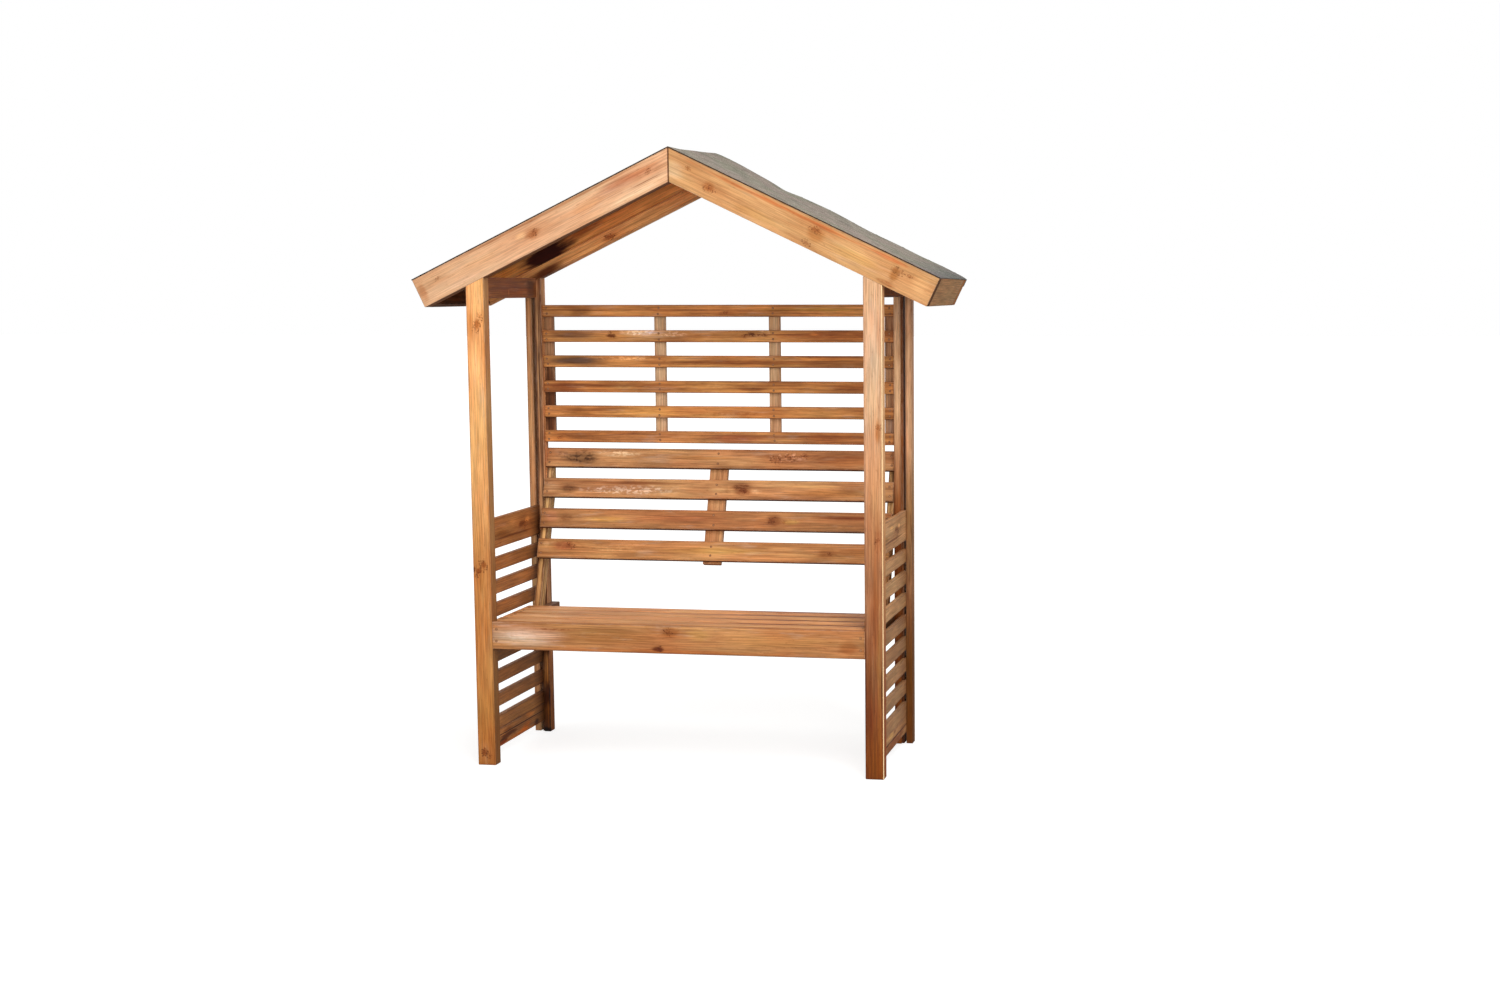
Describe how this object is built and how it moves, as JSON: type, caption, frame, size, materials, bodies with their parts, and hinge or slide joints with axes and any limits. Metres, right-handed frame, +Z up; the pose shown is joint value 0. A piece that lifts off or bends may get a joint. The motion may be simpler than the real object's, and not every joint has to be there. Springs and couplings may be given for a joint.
{
  "type": "garden arbour with bench",
  "caption": "Timber garden arbour: a pitched felt roof over a slatted bench, with slatted sides and back.",
  "frame": {"origin": "on the ground, in the middle of the footprint", "axes": "+Z up; -Y the open front that a sitter faces; +X to the right seen from the front"},
  "size_m": [1.7126, 0.58, 1.9853],
  "materials": {
    "front_post": "planed softwood, honey-brown preservative stain, semi-matt",
    "rear_post": "planed softwood, brown preservative stain, matt",
    "side_rail": "planed softwood, dark brown preservative stain, matt",
    "side_board": "sawn softwood slats, grey-brown stain, matt",
    "lattice": "planed softwood slats, brown preservative stain, matt",
    "backrest": "planed softwood slats, brown preservative stain, semi-matt",
    "backrest_support": "planed softwood, brown preservative stain, matt",
    "seat": "planed softwood, honey-brown preservative stain, semi-matt",
    "seat_bearer": "planed softwood, brown preservative stain, matt",
    "front_beam": "planed softwood, honey preservative stain, semi-matt",
    "rear_beam": "planed softwood, brown preservative stain, matt",
    "eaves": "planed softwood, dark brown preservative stain, matt",
    "deck": "sawn softwood, brown preservative stain, matt",
    "felt": "mineral-surfaced bitumen roofing felt, grey-green grit, matt"
  },
  "bodies": {
    "root": {"front_post_left": "front_post", "front_post_right": "front_post", "rear_outer_post_left": "rear_post", "rear_outer_post_right": "rear_post", "rear_inner_post_left": "rear_post", "rear_inner_post_right": "rear_post", "rear_post_strip_left": "rear_post", "rear_post_strip_right": "rear_post", "side_top_rail_left": "side_rail", "side_top_rail_right": "side_rail", "side_top_board_left": "side_board", "side_top_board_right": "side_board", "side_slats_left": "side_board", "side_slats_right": "side_board", "side_bottom_board_left": "side_board", "side_bottom_board_right": "side_board", "lattice_slats": "lattice", "lattice_mid_stiles": "lattice", "lattice_end_stiles": "lattice", "backrest_slat_1": "backrest", "backrest_slat_2": "backrest", "backrest_slat_3": "backrest", "backrest_slat_4": "backrest", "backrest_support_left": "backrest_support", "backrest_support_right": "backrest_support", "backrest_support_centre": "backrest_support", "seat_front_board": "seat", "seat_board_1": "seat", "seat_board_2": "seat", "seat_board_3": "seat", "seat_board_4": "seat", "seat_bearer_left": "seat_bearer", "seat_bearer_right": "seat_bearer", "front_gable_beam_left": "front_beam", "front_gable_beam_right": "front_beam", "rear_gable_beam_left": "rear_beam", "rear_gable_beam_right": "rear_beam", "eaves_board_left": "eaves", "eaves_board_right": "eaves", "roof_deck_left": "deck", "roof_deck_right": "deck", "deck_bearers": "deck", "roof_felt": "felt"}
  },
  "joints": []
}
